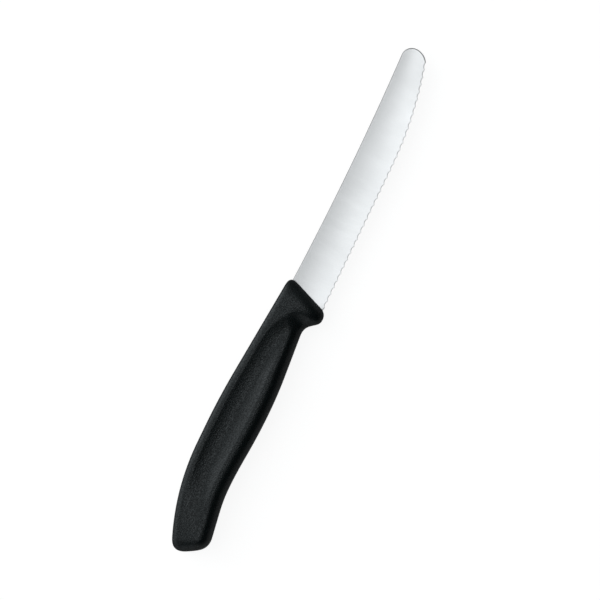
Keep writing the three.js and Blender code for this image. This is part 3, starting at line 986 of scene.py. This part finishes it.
def direction_ramp(tree, place, axis, levels, tint):
    """Tinted levels by the angle, in degrees, that a direction makes with an axis."""
    facing = tree.nodes.new("ShaderNodeVectorMath")
    facing.operation = "DOT_PRODUCT"
    facing.inputs[1].default_value = Vector(axis).normalized()
    tree.links.new(place.outputs["Generated"], facing.inputs[0])
    angle = worked_out(tree, "ARCCOSINE", facing.outputs["Value"])
    share = worked_out(tree, "DIVIDE", angle, math.pi)
    colours = tree.nodes.new("ShaderNodeValToRGB")
    ramp = colours.color_ramp
    ramp.interpolation = "EASE"
    ramp.elements[0].position = levels[0][0] / HALF_TURN_DEGREES
    ramp.elements[1].position = levels[-1][0] / HALF_TURN_DEGREES
    for degrees, _ in levels[1:-1]:
        ramp.elements.new(degrees / HALF_TURN_DEGREES)
    for element, (_, level) in zip(ramp.elements, levels):
        element.color = (*[level * part for part in tint], 1)
    tree.links.new(share, colours.inputs["Fac"])
    return colours.outputs["Color"]


def studio_world(scene):
    """White surroundings for the camera, and a soft overhead screen for the light."""
    world = bpy.data.worlds.new("studio")
    scene.world = world
    world.use_nodes = True
    tree = world.node_tree
    nodes, links = tree.nodes, tree.links
    background = nodes["Background"]
    place = nodes.new("ShaderNodeTexCoord")
    light = direction_ramp(tree, place, SCREEN_AXIS, SCREEN_LEVELS, SCREEN_TINT)
    for axis, levels in SHADES:
        shade = direction_ramp(tree, place, axis, levels, (1, 1, 1))
        dimmed = nodes.new("ShaderNodeMix")
        dimmed.data_type = "RGBA"
        dimmed.blend_type = "MULTIPLY"
        dimmed.inputs["Factor"].default_value = 1.0
        links.new(light, dimmed.inputs["A"])
        links.new(shade, dimmed.inputs["B"])
        light = dimmed.outputs["Result"]
    rays = nodes.new("ShaderNodeLightPath")
    shown = nodes.new("ShaderNodeMix")
    shown.data_type = "RGBA"
    shown.inputs["B"].default_value = (1, 1, 1, 1)
    links.new(rays.outputs["Is Camera Ray"], shown.inputs["Factor"])
    links.new(light, shown.inputs["A"])
    links.new(shown.outputs["Result"], background.inputs["Color"])


class KNIFE_OT_stage(bpy.types.Operator):
    """Sets the floor, the light and the camera."""

    bl_idname = "knife.stage"
    bl_label = "Stage"

    def execute(self, context):
        scene = context.scene
        stage = scene.knife_stage
        scene.view_settings.view_transform = "Standard"
        studio_world(scene)

        bpy.ops.object.select_all(action="DESELECT")
        bpy.ops.mesh.primitive_plane_add(size=FLOOR_SIZE)
        floor = context.object
        floor.name = "floor"
        floor.data.materials.append(floor_material(stage))

        bpy.ops.object.light_add(type="AREA", location=KEY_PLACE, rotation=(KEY_TILT, 0, 0))
        key = context.object
        key.name = "key"
        key.data.shape = "RECTANGLE"
        key.data.size = KEY_LENGTH
        key.data.size_y = KEY_WIDTH
        key.data.energy = stage.key_power
        key.visible_glossy = False

        place = (*CAMERA_PLACE, stage.camera_height)
        bpy.ops.object.camera_add(location=place, rotation=(0, 0, stage.camera_turn))
        camera = context.object
        distance = stage.camera_height - blade_origin(scene.knife_blade).z
        camera.data.lens = camera.data.sensor_width * distance / stage.field
        scene.camera = camera
        return {"FINISHED"}


class KNIFE_PT_panel(bpy.types.Panel):
    """Lists the knife's pieces and their sizes."""

    bl_label = "Table Knife"
    bl_idname = "KNIFE_PT_panel"
    bl_space_type = "VIEW_3D"
    bl_region_type = "UI"
    bl_category = "Knife"

    def draw(self, context):
        groups = (
            (context.scene.knife_stage, KNIFE_OT_stage),
            (context.scene.knife_blade, KNIFE_OT_blade),
            (context.scene.knife_handle, KNIFE_OT_handle),
        )
        for settings, operator in groups:
            box = self.layout.box()
            for name in type(settings).__annotations__:
                box.prop(settings, name)
            box.operator(operator.bl_idname)


CLASSES = (
    KnifeBladeSettings,
    KnifeHandleSettings,
    KnifeStageSettings,
    KNIFE_OT_blade,
    KNIFE_OT_handle,
    KNIFE_OT_stage,
    KNIFE_PT_panel,
)


def register():
    """Adds the settings, operators and panel to Blender."""
    for each in CLASSES:
        bpy.utils.register_class(each)
    bpy.types.Scene.knife_blade = PointerProperty(type=KnifeBladeSettings)
    bpy.types.Scene.knife_handle = PointerProperty(type=KnifeHandleSettings)
    bpy.types.Scene.knife_stage = PointerProperty(type=KnifeStageSettings)


def unregister():
    """Takes the settings, operators and panel out again."""
    del bpy.types.Scene.knife_stage
    del bpy.types.Scene.knife_handle
    del bpy.types.Scene.knife_blade
    for each in reversed(CLASSES):
        bpy.utils.unregister_class(each)


def main():
    """Builds the knife and its stage."""
    register()
    bpy.ops.knife.stage()
    bpy.ops.knife.blade()
    bpy.ops.knife.handle()


if __name__ == "__main__":
    main()
